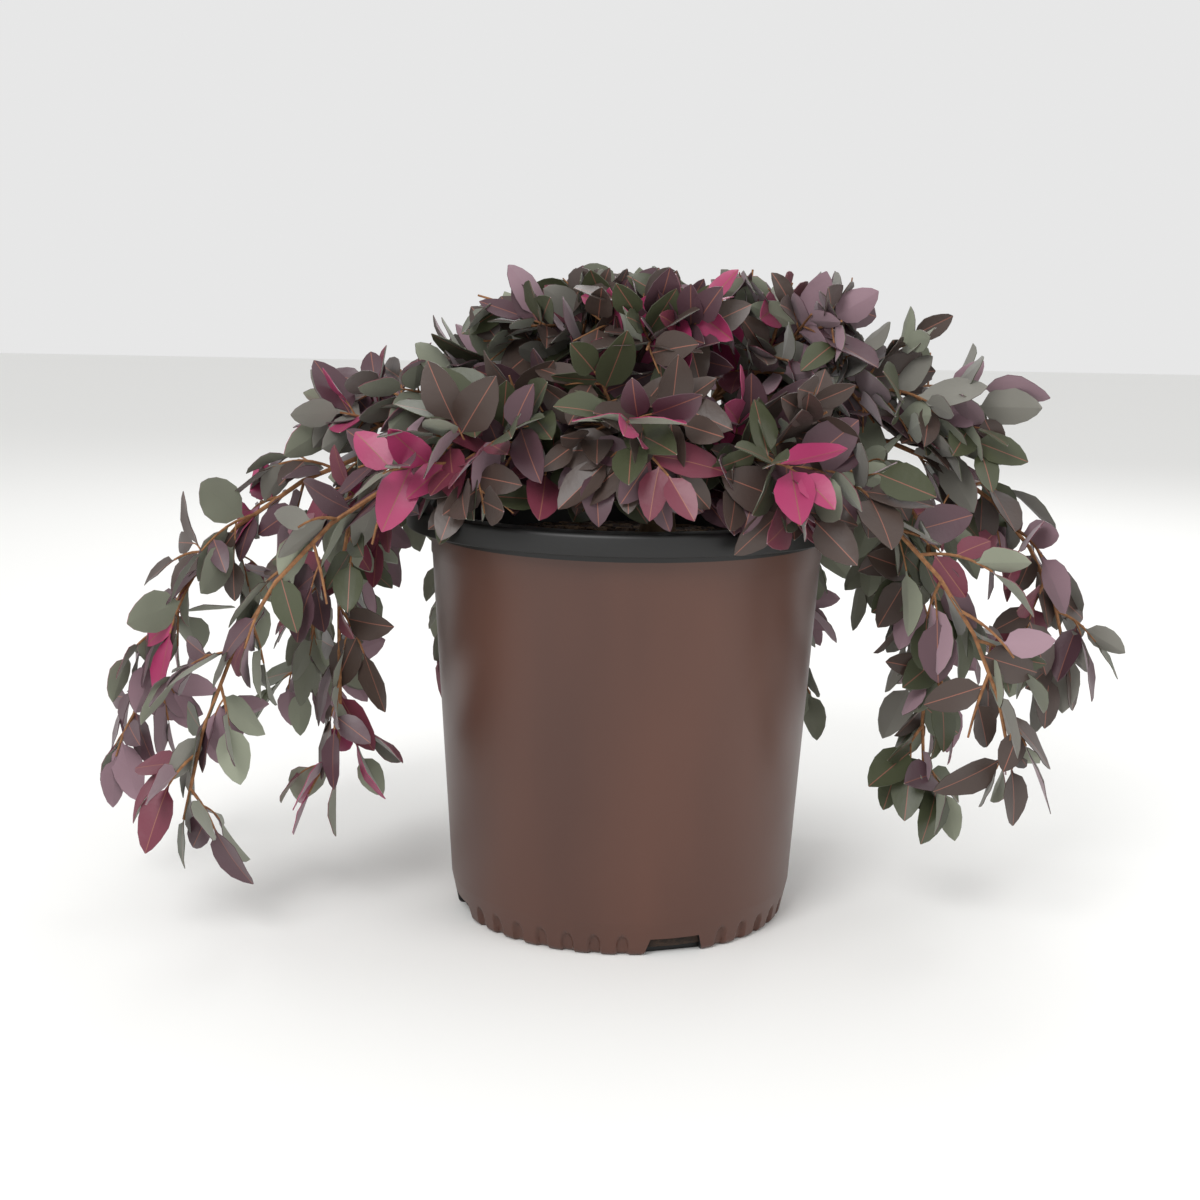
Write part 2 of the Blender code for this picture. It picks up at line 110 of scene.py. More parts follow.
# Soil
SOIL_LEVEL = 0.213
SOIL_DISH = 0.004
SOIL_FLAT_RADIUS = 0.045
SOIL_EDGE_WIDTH = 0.062
CHIP_COUNT = 1500
CHIP_REACH = 0.101
CHIP_TILT = 0.4
CHIP_HALVES = ((2, 6), (1, 2.6), (0.5, 1.2))  # half its length, width and thickness, in mm
CHIP_RISE = 0.6
CHIP_WEAR = (0.75, 1.0)
GAP = 0.0003

# Trunk and boughs
TRUNK_FOOT = Vector((0.018, 0.006, SOIL_LEVEL + GAP))
TRUNK_TOP = Vector((0.046, 0.002, 0.292))
TRUNK_FOOT_RADIUS = 0.0085
TRUNK_TOP_RADIUS = 0.0042
ROOT_FLARE = 0.0055
FLARE_HEIGHT = 0.008
TRUNK_POINTS = 10
BOUGH_POINTS = 6
BOUGH_TAPER = 0.45
FORK_LEAN = 0.55
HANDLE_SHARE = 0.40
BARK_SIDES = 20
BARK_STEP = 0.0012
BARK_RELIEF = 0.09
BARK_RIDGES = 7
BARK_LOBES = 3
BARK_DRIFT = 0.09
BARK_GRAIN = 0.5

# Stems, twigs and finer twigs
STEM_RADIUS = 0.0019
STEM_POINTS = 8
STEM_LEAD = 0.004
STEM_RADII = (0.0017, 0.0009)
TWIG_RADII = (0.0010, 0.0006)
FINE_RADII = (0.0006, 0.0004)
TWIG_SIDES = 6
TWIG_POINTS = 7
TWIG_ANGLE = 52.0
GOLDEN_ANGLE = 137.508
FIRST_TWIG = 0.06
LAST_TWIG = 0.95
TWIG_TURN = 45.0
TWIG_ROLL_SWING = 15.0
TWIG_LEANS = (-14.0, 10.0)
TWIG_LENGTHS = (0.6, 1.1)
TWIG_SHORTENING = 0.25
FIRST_FINE = 0.35
FINE_STEP = 0.3
FINE_SHIFT = 0.08
FINE_ROLL_SWING = 60.0
FINE_LEAN_SWING = 10.0
FINE_LENGTHS = (0.35, 0.6)

# Leaves
LEAF_LENGTHS = (0.022, 0.040)
LEAF_SHAPE = 0.58
LEAF_THICKNESS = 0.0004
LEAF_FOLD = 0.10
LEAF_CURL = 0.12
LEAF_ANGLE = 50.0
LEAF_WIDTHS = (0.88, 1.1)
LEAF_FOLDS = (0.3, 1.8)
LEAF_CURLS = (-0.2, 1.6)
LEAF_DROOPS = (0.1, 0.5)
LEAF_LEAN_SWING = 16.0
TIP_LEAN_SWING = 12.0
LEAF_ROLL_SPREAD = 38.0
BEFORE_LEAF = 0.6
AFTER_LEAVES = 0.4
BARE_STEM_POINTS = 2
STEM_LEAF_STEPS = 2
RIPPLE = 0.02
RIPPLE_TURN = 9
RIB_WIDTH = 0.0005
COLUMNS = 8
MARGIN_ANGLE = 55.0
STATIONS = (0.0, 0.07, 0.18, 0.36, 0.56, 0.76, 0.91, 1.0)
WIDTHS = (0.05, 0.12, 0.70, 0.99, 0.97, 0.73, 0.40, 0.03)
TRIES = 6

# The room that the foliage keeps to
CROWN_TOP = 0.368
CROWN_FOOT = 0.012
FRONT_CLEAR_AZIMUTH = 62.0
FRONT_CLEAR_HEIGHT = 0.222
BORDER_REACH = 0.012
POT_MARGIN = 0.002

# Camera, fitted to the outline of the pot in the photograph
CAMERA_PLACE = Vector((-0.0145, -1.0601, 0.3691))
CAMERA_PITCH = 10.167
CAMERA_ROLL = 1.053
CAMERA_LENS = 56.24
SENSOR = 36.0

# Floor, surround and lights: each light's name, place, size and power
FLOOR_REACH = 6.0
FLOOR_COLOUR = (240, 240, 238)
SURROUND_STRENGTH = 0.8
LIGHT_AIM = Vector((0.0, 0.0, 0.2))
LIGHTS = (
    ("key", (-0.7, -1.6, 1.5), 0.9, 26),
    ("fill", (1.5, -0.9, 1.0), 1.2, 8),
    ("rim", (0.3, 1.6, 1.5), 1.2, 12),
)

# A box's faces, whose corners are numbered along its third side first and its first side last
BOX_FACES = ((0, 1, 3, 2), (6, 7, 5, 4), (4, 5, 1, 0), (2, 3, 7, 6), (0, 2, 6, 4), (5, 7, 3, 1))

# A limb's crest and tip are azimuth, reach from the pot's axis and height, in degrees and mm.
Limb = namedtuple("Limb", "name parent share radius crest tip habit spread")
LIMBS = (
    Limb("left", "trunk", 0.56, 3.2, (-92, 84, 276), (-91, 290, 88), "weeping", 56),
    Limb("left_front", "left", 0.46, 2.4, (-64, 88, 268), (-70, 252, 70), "weeping", 54),
    Limb("left_back", "left", 0.56, 2.4, (-124, 88, 272), (-122, 246, 92), "weeping", 58),
    Limb("left_inner", "left", 0.72, 2.2, (-78, 112, 260), (-76, 166, 84), "weeping", 44),
    Limb("left_shoulder", "trunk", 0.80, 2.4, (-98, 40, 290), (-88, 154, 270), "arching", 50),
    Limb("right", "trunk", 0.62, 3.2, (90, 106, 280), (90, 256, 146), "weeping", 52),
    Limb("right_front", "right", 0.42, 2.4, (60, 96, 266), (66, 226, 108), "weeping", 54),
    Limb("right_back", "right", 0.52, 2.4, (122, 102, 274), (119, 236, 100), "weeping", 58),
    Limb("right_inner", "right", 0.72, 2.2, (80, 124, 262), (82, 174, 80), "weeping", 44),
    Limb("right_shoulder", "trunk", 0.88, 2.4, (84, 84, 298), (87, 188, 286), "arching", 50),
    Limb("front_left", "trunk", 0.46, 2.4, (-42, 34, 264), (-42, 136, 264), "arching", 56),
    Limb("front_right", "trunk", 0.40, 2.4, (44, 60, 260), (40, 140, 262), "arching", 56),
    Limb("front", "trunk", 0.68, 2.2, (-6, 28, 280), (0, 118, 280), "arching", 54),
    Limb("back", "trunk", 0.50, 3.0, (180, 66, 280), (180, 206, 108), "weeping", 60),
    Limb("back_left", "back", 0.50, 2.4, (-152, 78, 272), (-150, 222, 104), "weeping", 60),
    Limb("back_right", "back", 0.62, 2.4, (150, 88, 274), (150, 224, 100), "weeping", 60),
    Limb("rear_left", "trunk", 0.70, 2.2, (-138, 36, 286), (-140, 124, 296), "arching", 56),
    Limb("rear_right", "trunk", 0.74, 2.2, (134, 68, 290), (138, 142, 298), "arching", 56),
    Limb("top_left", "trunk", 0.90, 2.0, (-72, 10, 302), (-62, 52, 342), "upright", 54),
    Limb("top_front", "trunk", 0.82, 2.0, (20, 38, 300), (10, 66, 342), "upright", 52),
    Limb("top_back", "trunk", 0.86, 2.0, (160, 50, 302), (178, 76, 342), "upright", 56),
    Limb("top_right", "trunk", 1.00, 4.2, (87, 46, 292), (82, 112, 342), "upright", 54),
)

# Directions at the crest and the tip as shares of outward and up, how much the twigs hang, the
# distance from one twig to the next, the twigs' length as a share of the spread, and how many
# finer twigs each carries.
Habit = namedtuple("Habit", "leave arrive droop twig_step twig_share fine_twigs leaf_step")
HABITS = {
    "weeping": Habit((1.0, -0.15), (0.16, -1.0), 0.75, 0.017, 0.85, 1, 0.012),
    "arching": Habit((1.0, 0.30), (1.0, -0.55), 0.30, 0.0075, 1.0, 2, 0.010),
    "upright": Habit((0.55, 1.0), (0.75, 0.60), 0.0, 0.0060, 1.0, 2, 0.010),
}

# Colours as the photograph shows them, in sRGB
UPPER_COLOURS = {
    "bronze": (66, 52, 46),
    "dark_green": (64, 68, 46),
    "plum": (78, 52, 60),
    "burgundy": (104, 42, 58),
    "magenta": (150, 46, 88),
}
UNDER_COLOURS = {"sage": (132, 136, 118), "mauve": (146, 118, 128), "grey": (122, 120, 112)}
RIB_COLOUR = (134, 84, 70)
FIRST_UNDER = len(UPPER_COLOURS)
RIB_SLOT = FIRST_UNDER + len(UNDER_COLOURS)

# The dark and the light of each mottled surface, in sRGB
BRONZE = ((68, 42, 34), (88, 55, 43))
BLACK = ((7, 7, 7), (12, 11, 11))
COMPOST = ((30, 22, 17), (58, 42, 31))
BARK = ((74, 58, 42), (128, 104, 76))
TWIG_BARK = ((112, 74, 48), (152, 108, 70))
CHIPS = {
    "dark": ((30, 21, 16), (48, 34, 25)),
    "brown": ((52, 36, 26), (80, 58, 42)),
    "pale": ((84, 64, 46), (116, 92, 68)),
}
MOTTLE_SPAN = (0.3, 0.7)
UPRIGHT_GRAIN = (1.0, 1.0, 0.25)
CHIP_GRAIN = (1.0, 1.0, 0.4)

# How often each colour of spray comes up, in the order of UPPER_COLOURS
SPRAY_SHARES = {
    "left": (20, 14, 34, 26, 6),
    "right": (40, 36, 14, 9, 1),
    "crown": (34, 22, 26, 14, 4),
}
UNDER_SHARES = {"left": (52, 32, 16), "right": (38, 30, 32), "crown": (44, 30, 26)}
SIDE_REACH = 0.09


def linear(colour):
    """An sRGB colour of 0 to 255 as the linear one that shaders take."""
    parts = []
    for part in colour:
        dark = part <= 10
        parts.append(part / 255 / 12.92 if dark else ((part / 255 + 0.055) / 1.055) ** 2.4)
    return tuple(parts)


def new_material(name, colour, roughness):
    material = bpy.data.materials.new(name)
    material.use_nodes = True
    shader = material.node_tree.nodes["Principled BSDF"]
    shader.inputs["Base Color"].default_value = (*linear(colour), 1.0)
    shader.inputs["Roughness"].default_value = roughness
    return material, shader


def add_noise(material, scale, detail, stretch=(1.0, 1.0, 1.0)):
    nodes, links = material.node_tree.nodes, material.node_tree.links
    place = nodes.new("ShaderNodeTexCoord")
    mapping = nodes.new("ShaderNodeMapping")
    mapping.inputs["Scale"].default_value = stretch
    noise = nodes.new("ShaderNodeTexNoise")
    noise.inputs["Scale"].default_value = scale
    noise.inputs["Detail"].default_value = detail
    links.new(place.outputs["Object"], mapping.inputs["Vector"])
    links.new(mapping.outputs["Vector"], noise.inputs["Vector"])
    return noise


def add_bump(material, shader, noise, height, strength):
    nodes, links = material.node_tree.nodes, material.node_tree.links
    bump = nodes.new("ShaderNodeBump")
    bump.inputs["Distance"].default_value = height
    bump.inputs["Strength"].default_value = strength
    links.new(noise.outputs["Fac"], bump.inputs["Height"])
    links.new(bump.outputs["Normal"], shader.inputs["Normal"])


def add_mottle(material, shader, noise, dark, light):
    nodes, links = material.node_tree.nodes, material.node_tree.links
    ramp = nodes.new("ShaderNodeValToRGB")
    for stop, position, colour in zip(ramp.color_ramp.elements, MOTTLE_SPAN, (dark, light)):
        stop.position = position
        stop.color = (*linear(colour), 1.0)
    links.new(noise.outputs["Fac"], ramp.inputs["Fac"])
    links.new(ramp.outputs["Color"], shader.inputs["Base Color"])


def add_wear(material, shader, noise, low, high):
    nodes, links = material.node_tree.nodes, material.node_tree.links
    span = nodes.new("ShaderNodeMapRange")
    span.inputs["To Min"].default_value = low
    span.inputs["To Max"].default_value = high
    links.new(noise.outputs["Fac"], span.inputs["Value"])
    links.new(span.outputs["Result"], shader.inputs["Roughness"])


def moulded_plastic(name, dark, light, low, high):
    """Satin plastic with faint upright streaks and a fine grain."""
    material, shader = new_material(name, light, high)
    add_mottle(material, shader, add_noise(material, 9.0, 3.0, UPRIGHT_GRAIN), dark, light)
    add_wear(material, shader, add_noise(material, 22.0, 4.0), low, high)
    add_bump(material, shader, add_noise(material, 900.0, 2.0), 0.0001, 0.25)
    return material


def rough_matter(name, dark, light, scale, height, stretch=(1.0, 1.0, 1.0)):
    """Bark or soil: mottled, matt and rough."""
    material, shader = new_material(name, dark, 0.9)
    noise = add_noise(material, scale, 6.0, stretch)
    add_mottle(material, shader, noise, dark, light)
    add_bump(material, shader, noise, height, 0.7)
    return material


def leaf_material(name, colour, roughness, sheen):
    """Plain colour, with the fine blister and the down of the leaf in its bump and sheen."""
    material, shader = new_material(name, colour, roughness)
    shader.inputs["Sheen Weight"].default_value = sheen
    add_bump(material, shader, add_noise(material, 420.0, 3.0), 0.0003, 0.35)
    return material


def make_leaf_materials():
    """The upper sides, then the undersides, then the rib, in the order of their slots."""
    materials = []
    for name, colour in UPPER_COLOURS.items():
        materials.append(leaf_material("leaf_" + name, colour, 0.42, 0.05))
    for name, colour in UNDER_COLOURS.items():
        materials.append(leaf_material("under_" + name, colour, 0.7, 0.25))
    materials.append(leaf_material("leaf_rib", RIB_COLOUR, 0.5, 0.05))
    return materials


def make_object(name, vertices, faces, materials, slots=None, smooth=True):
    mesh = bpy.data.meshes.new(name)
    mesh.from_pydata(vertices, [], faces)
    for material in materials:
        mesh.materials.append(material)
    if slots is not None:
        mesh.polygons.foreach_set("material_index", slots)
    mesh.polygons.foreach_set("use_smooth", [smooth] * len(mesh.polygons))
    mesh.update()
    if smooth:
        mesh.set_sharp_from_angle(angle=math.radians(MARGIN_ANGLE))
    obj = bpy.data.objects.new(name, mesh)
    bpy.context.scene.collection.objects.link(obj)
    return obj


def polar(azimuth, reach, height):
    """The point at an azimuth in degrees, and a reach and height in millimetres."""
    angle = math.radians(azimuth)
    return Vector((reach * math.sin(angle), -reach * math.cos(angle), height)) / 1000


def bezier(start, leave, arrive, end, count):
    """Points along a cubic that leaves and arrives in the directions given."""
    reach = HANDLE_SHARE * (end - start).length
    a, b, c, d = start, start + reach * leave, end - reach * arrive, end
    points = []
    for step in range(count):
        t = step / (count - 1)
        s = 1 - t
        points.append(s * s * s * a + 3 * s * s * t * b + 3 * s * t * t * c + t * t * t * d)
    return points


def along(points, share):
    place = min(max(share, 0.0), 1.0) * (len(points) - 1)
    index = min(int(place), len(points) - 2)
    step = points[index + 1] - points[index]
    return points[index] + (place - index) * step, step.normalized()


def path_length(points):
    return sum((b - a).length for a, b in zip(points, points[1:]))


def taper(start, end, count):
    return [start + (end - start) * step / (count - 1) for step in range(count)]


def arc(centre, radius, start, end):
    """Points of radius and height on an arc, with its angles in degrees from outward."""
    points = []
    for step in range(ARC_STEPS + 1):
        angle = math.radians(start + (end - start) * step / ARC_STEPS)
        points.append((centre[0] + radius * math.cos(angle), centre[1] + radius * math.sin(angle)))
    return points


def pot_profile():
    """The section of the pot, from the middle of its floor up the inside and down the outside."""
    lip_foot = POT_HEIGHT - LIP_DEPTH
    upper, lower = STEP_HEIGHTS
    top_round = (LIP_RADIUS - LIP_ROUND, POT_HEIGHT - LIP_ROUND)
    low_round = (LIP_RADIUS - LIP_THICKNESS / 2, lip_foot + LIP_THICKNESS / 2)
    foot_round = (FOOT_RADIUS - FOOT_ROUND, FOOT_ROUND)
    profile = [
        (AXIS_RADIUS, FLOOR),
        (FOOT_RADIUS - WALL, FLOOR),
        (HEEL_RADIUS - WALL, HEEL_HEIGHT),
        (BODY_RADIUS - WALL, lip_foot),
        (BODY_RADIUS - WALL / 2, POT_HEIGHT - LIP_ROUND),
    ]
    profile += arc((BODY_RADIUS + LIP_ROUND / 2, POT_HEIGHT - LIP_ROUND), LIP_ROUND, 180, 90)
    profile += arc(top_round, LIP_ROUND, 90, 0)
    profile += arc(low_round, LIP_THICKNESS / 2, 0, -180)
    profile += [
        (LIP_RADIUS - LIP_THICKNESS, POT_HEIGHT - 2 * LIP_ROUND),
        (BODY_RADIUS, POT_HEIGHT - 2 * LIP_ROUND - STEP_SIZE),
        (BODY_RADIUS, upper + STEP_SIZE),
        (BODY_RADIUS - STEP_SIZE, upper - STEP_SIZE),
        (BODY_RADIUS - STEP_SIZE, lower + STEP_SIZE),
        (BODY_RADIUS - 2 * STEP_SIZE, lower - STEP_SIZE),
        (HEEL_RADIUS, HEEL_HEIGHT),
    ]
    for row in range(1, DENT_ROWS):
        share = row / DENT_ROWS
        profile.append((HEEL_RADIUS + share * (FOOT_RADIUS - HEEL_RADIUS),
                        HEEL_HEIGHT + share * (FOOT_ROUND - HEEL_HEIGHT)))
    profile += arc(foot_round, FOOT_ROUND, 0, -90)
    profile.append((AXIS_RADIUS, 0.0))
    return profile


def dent_azimuths():
    centres = []
    for quarter in range(NOTCH_COUNT):
        middle = NOTCH_AZIMUTH + (quarter + 0.5) * 360 / NOTCH_COUNT
        for index in range(DENTS):
            centres.append(middle + (index - (DENTS - 1) / 2) * DENT_PITCH)
    return centres


def dent_depth(azimuth, radius, height, centres):
    """How far the foot is pressed in here: a dent is an upright arch, deepest in its middle."""
    if height > DENT_HEIGHT or radius < DENT_INNER_RADIUS:
        return 0.0
    nearest = min(abs((azimuth - centre + 180) % 360 - 180) for centre in centres)
    across = math.radians(nearest) * radius / (DENT_WIDTH / 2)
    inside = 1 - across * across - (height / DENT_HEIGHT) ** DENT_ARCH
    return DENT_DEPTH * min(1.0, DENT_STEEPNESS * inside) if inside > 0 else 0.0


def make_pot(bronze, black):
    """The pot's section turned round its axis: bronze from below the lip down, and black elsewhere."""
    profile = pot_profile()
    centres = dent_azimuths()
    heel = profile.index((HEEL_RADIUS, HEEL_HEIGHT))
    first_bronze = profile.index((BODY_RADIUS, STEP_HEIGHTS[0] + STEP_SIZE))
    vertices, faces, slots = [], [], []
    for step in range(POT_SIDES):
        azimuth = 360 * step / POT_SIDES
        angle = math.radians(azimuth)
        for index, (radius, height) in enumerate(profile):
            if heel <= index < len(profile) - 1:
                radius -= dent_depth(azimuth, radius, height, centres)
            vertices.append((radius * math.sin(angle), -radius * math.cos(angle), height))
    count = len(profile)
    for step in range(POT_SIDES):
        here, there = step * count, (step + 1) % POT_SIDES * count
        for index in range(count - 1):
            faces.append((here + index, here + index + 1, there + index + 1, there + index))
            slots.append(0 if index >= first_bronze else 1)
    faces.append([step * count for step in range(POT_SIDES)])
    faces.append([step * count + count - 1 for step in reversed(range(POT_SIDES))])
    slots += [1, 0]
    pot = make_object("nursery_pot", vertices, faces, [bronze, black], slots)
    cut_notches(pot)
    return pot


def cut_notches(pot):
    """Opens the four drain notches, and leaves what the cuts lay bare black like the inside."""
    vertices, faces = [], []
    for index in range(NOTCH_COUNT):
        azimuth = math.radians(NOTCH_AZIMUTH + index * 360 / NOTCH_COUNT)
        out = Vector((math.sin(azimuth), -math.cos(azimuth), 0.0))
        side = Vector((math.cos(azimuth), math.sin(azimuth), 0.0))
        base = len(vertices)
        for reach in (NOTCH_INNER_RADIUS, LIP_RADIUS):
            for half, height in ((NOTCH_FOOT_WIDTH / 2, -NOTCH_HEIGHT),
                                 (NOTCH_TOP_WIDTH / 2, NOTCH_HEIGHT)):
                for sign in (-1, 1):
                    vertices.append(out * reach + side * sign * half + UP * height)
        for face in BOX_FACES:
            faces.append([base + corner for corner in reversed(face)])
    cutter = make_object("notches", vertices, faces, [pot.data.materials[1]], smooth=False)
    cut = pot.modifiers.new("Notches", "BOOLEAN")
    cut.operation = "DIFFERENCE"
    cut.solver = "EXACT"
    cut.material_mode = "TRANSFER"
    cut.object = cutter
    mesh = bpy.data.meshes.new_from_object(
        pot.evaluated_get(bpy.context.evaluated_depsgraph_get()))
    pot.modifiers.clear()
    pot.data = mesh
    bpy.data.objects.remove(cutter)


def make_chips(rng, materials):
    """Chips of composted bark that lie on the soil."""
    vertices, faces, slots = [], [], []
    for _ in range(CHIP_COUNT):
        reach = CHIP_REACH * math.sqrt(rng.random())
        angle = rng.uniform(0, 2 * math.pi)
        height = SOIL_LEVEL - SOIL_DISH * max(0.0, reach - SOIL_FLAT_RADIUS) / SOIL_EDGE_WIDTH
        turn = Matrix.Rotation(rng.uniform(0, 2 * math.pi), 3, "Z")
        turn = turn @ Matrix.Rotation(rng.uniform(-CHIP_TILT, CHIP_TILT), 3, "X")
        half = Vector([rng.uniform(*span) for span in CHIP_HALVES]) / 1000
        rise = height + half.z * CHIP_RISE
        middle = Vector((reach * math.cos(angle), reach * math.sin(angle), rise))
        base = len(vertices)
        for x in (-1, 1):
            for y in (-1, 1):
                for z in (-1, 1):
                    corner = Vector((x * half.x, y * half.y, z * half.z)) * rng.uniform(*CHIP_WEAR)
                    vertices.append(middle + turn @ corner)
        for face in BOX_FACES:
            faces.append([base + corner for corner in face])
        slots += [rng.randrange(len(materials))] * len(BOX_FACES)
    return make_object("bark_chips", vertices, faces, materials, slots, smooth=False)


def add_tube(vertices, faces, points, radii, sides, relief=None):
    """Adds a round tube with closed ends, with relief as a share of its radius."""
    base = len(vertices)
    way = (points[1] - points[0]).normalized()
    side = way.orthogonal().normalized()
    for index, (point, radius) in enumerate(zip(points, radii)):
        last = min(index + 1, len(points) - 1)
        way = (points[last] - points[max(index - 1, 0)]).normalized()
        side = (side - side.dot(way) * way).normalized()
        across = way.cross(side)
        for step in range(sides):
            angle = 2 * math.pi * step / sides
            width = radius * (1 + relief(index, step)) if relief else radius
            vertices.append(point + width * (math.cos(angle) * side + math.sin(angle) * across))
    for index in range(len(points) - 1):
        for step in range(sides):
            a = base + index * sides + step
            b = base + index * sides + (step + 1) % sides
            faces.append((a, b, b + sides, a + sides))
    faces.append([base + step for step in reversed(range(sides))])
    faces.append([base + (len(points) - 1) * sides + step for step in range(sides)])


def swing(rng, most):
    return rng.uniform(-most, most)


def bark_relief(rng, rings, sides):
    """Upright ridges that wander, with knots and cracks between them."""
    ridges = [rng.uniform(0, 2 * math.pi) for _ in range(BARK_RIDGES)]
    drift = [swing(rng, BARK_DRIFT) for _ in range(BARK_RIDGES)]
    grain = [[swing(rng, BARK_GRAIN) for _ in range(sides)] for _ in range(rings)]

    def relief(ring, step):
        angle = 2 * math.pi * step / sides
        height = sum(math.cos(BARK_LOBES * angle + start + slip * ring)
                     for start, slip in zip(ridges, drift))
        return BARK_RELIEF * (height / BARK_RIDGES + grain[ring][step])

    return relief


def heading(limb, end):
    place = limb.tip if end else limb.crest
    habit = HABITS[limb.habit]
    out, up = habit.arrive if end else habit.leave
    return (out * polar(place[0], 1000, 0) + up * UP).normalized()


def trunk_path(count):
    points = bezier(TRUNK_FOOT, UP, (TRUNK_TOP - TRUNK_FOOT).normalized(), TRUNK_TOP, count)
    radii = []
    for point, radius in zip(points, taper(TRUNK_FOOT_RADIUS, TRUNK_TOP_RADIUS, count)):
        radii.append(radius + ROOT_FLARE * math.exp(-(point.z - TRUNK_FOOT.z) / FLARE_HEIGHT))
    return points, radii


def bough_path(limb, parent, count):
    root, way = along(parent, limb.share)
    crest = polar(*limb.crest)
    leave = (FORK_LEAN * way + (crest - root).normalized()).normalized()
    path = bezier(root, leave, heading(limb, 0), crest, count)
    root_radius = limb.radius / 1000
    return path, taper(root_radius, max(STEM_RADIUS, BOUGH_TAPER * root_radius), count)


def limb_paths():
    """The axes of the trunk and boughs, with as many points as the CAD model's."""
    paths = {"trunk": trunk_path(TRUNK_POINTS)[0]}
    for limb in LIMBS:
        if limb.share < 1.0:
            paths[limb.name] = bough_path(limb, paths[limb.parent], BOUGH_POINTS)[0]
    return paths


def stem_path(limb, paths):
    points = paths.get(limb.name, paths[limb.parent])
    way = (points[-1] - points[-2]).normalized()
    start = points[-1]
    bend = start + (GAP + STEM_LEAD) * way
    return [start] + bezier(bend, way, heading(limb, 1), polar(*limb.tip), STEM_POINTS - 1)


def make_bark(paths, rng, material):
    """The trunk and boughs, finely divided, with the relief of their bark in the mesh."""
    vertices, faces = [], []
    count = round(path_length(paths["trunk"]) / BARK_STEP)
    points, radii = trunk_path(count)
    add_tube(vertices, faces, points, radii, BARK_SIDES, bark_relief(rng, count, BARK_SIDES))
    for limb in LIMBS:
        if limb.name not in paths:
            continue
        count = round(path_length(paths[limb.name]) / BARK_STEP)
        points, radii = bough_path(limb, paths[limb.parent], count)
        add_tube(vertices, faces, points, radii, BARK_SIDES, bark_relief(rng, count, BARK_SIDES))
    return make_object("bark_limbs", vertices, faces, [material])


class Room:
    """The space of one mass: round its own stem, clear of the pot, and a little past its borders."""

    def __init__(self, limb, stems):
        self.spread = limb.spread / 1000
        self.own = self.segments([stems[limb.name]])
        self.others = self.segments([path for name, path in stems.items() if name != limb.name])

    @staticmethod
    def segments(paths):
        starts = [point for path in paths for point in path[:-1]]
        ends = [point for path in paths for point in path[1:]]
        return np.array(starts), np.array(ends) - np.array(starts)

    @staticmethod
    def nearest(points, segments):
        starts, steps = segments
        offset = points[:, None, :] - starts[None]
        share = np.einsum("ijk,jk->ij", offset, steps) / np.einsum("jk,jk->j", steps, steps)
        offset -= np.clip(share, 0, 1)[:, :, None] * steps[None]
        return np.sqrt((offset * offset).sum(axis=2)).min(axis=1)

    def holds(self, points):
        points = np.array(points)
        if points[:, 2].max() > CROWN_TOP or points[:, 2].min() < CROWN_FOOT:
            return False
        reach = np.hypot(points[:, 0], points[:, 1])
        azimuth = np.degrees(np.arctan2(points[:, 0], -points[:, 1]))
        low = points[:, 2] < FRONT_CLEAR_HEIGHT
        if (low & (np.abs(azimuth) < FRONT_CLEAR_AZIMUTH) & (reach < 2 * LIP_RADIUS)).any():
            return False
        if ((reach < LIP_RADIUS + POT_MARGIN) & (points[:, 2] < POT_HEIGHT + POT_MARGIN)).any():
            return False
        own = self.nearest(points, self.own)
        if (own > self.spread).any():
            return False
        return not (self.nearest(points, self.others) < own - BORDER_REACH).any()


def sideways(way, place):
    """The level direction across a twig, and the one that faces up and out of the crown."""
    out = Vector((place.x, place.y, 0.0))
    out = out.normalized() if out.length > 0.01 else Vector((0.0, -1.0, 0.0))
    side = way.cross(out + 0.5 * UP)
    side = side.normalized() if side.length > 0.05 else way.orthogonal().normalized()
    face = side.cross(way)
    return (side, face) if face.dot(out + 0.5 * UP) > 0 else (side, -face)


def branch(root, way, roll, lean, length, droop):
    """The path of a twig that leans out of its parent and hangs by its droop."""
    side, face = sideways(way, root)
    leave = math.cos(lean) * way + math.sin(lean) * (math.cos(roll) * side + math.sin(roll) * face)
    arrive = (leave - droop * UP).normalized()
    return bezier(root, leave, arrive, root + length * (0.5 * leave + 0.5 * arrive), TWIG_POINTS)


def leaf_frame(place, way, lean, roll, droop):
    side, face = sideways(way, place)
    turn = Matrix.Rotation(roll, 3, way)
    point = math.cos(abs(lean)) * way + math.sin(lean) * (turn @ side) - droop * UP
    point.normalize()
    face = turn @ face
    face = (face - face.dot(point) * point).normalized()
    frame = Matrix((point, face.cross(point), face)).transposed().to_4x4()
    frame.translation = place
    return frame


def leaf_points(length, rng):
    """Stations of one blade: its margins and both sides of its rib, left to right, above and below."""
    width = LEAF_SHAPE * length * rng.uniform(*LEAF_WIDTHS)
    fold = LEAF_FOLD * rng.uniform(*LEAF_FOLDS)
    curl = LEAF_CURL * rng.uniform(*LEAF_CURLS)
    ripple = rng.uniform(0, 2 * math.pi)
    rows = []
    for share, size in zip(STATIONS, WIDTHS):
        half = size * width / 2
        sag = -curl * length * share * share
        wave = math.sin(RIPPLE_TURN * share + ripple)
        lift = fold * 2 * half + RIPPLE * length * size * wave
        rib = min(RIB_WIDTH / 2, half / 2)
        x = share * length
        upper = [Vector((x, -half, sag + lift)), Vector((x, -rib, sag)),
                 Vector((x, rib, sag)), Vector((x, half, sag + lift))]
        rows.append(upper + [point - LEAF_THICKNESS * UP for point in upper])
    return rows


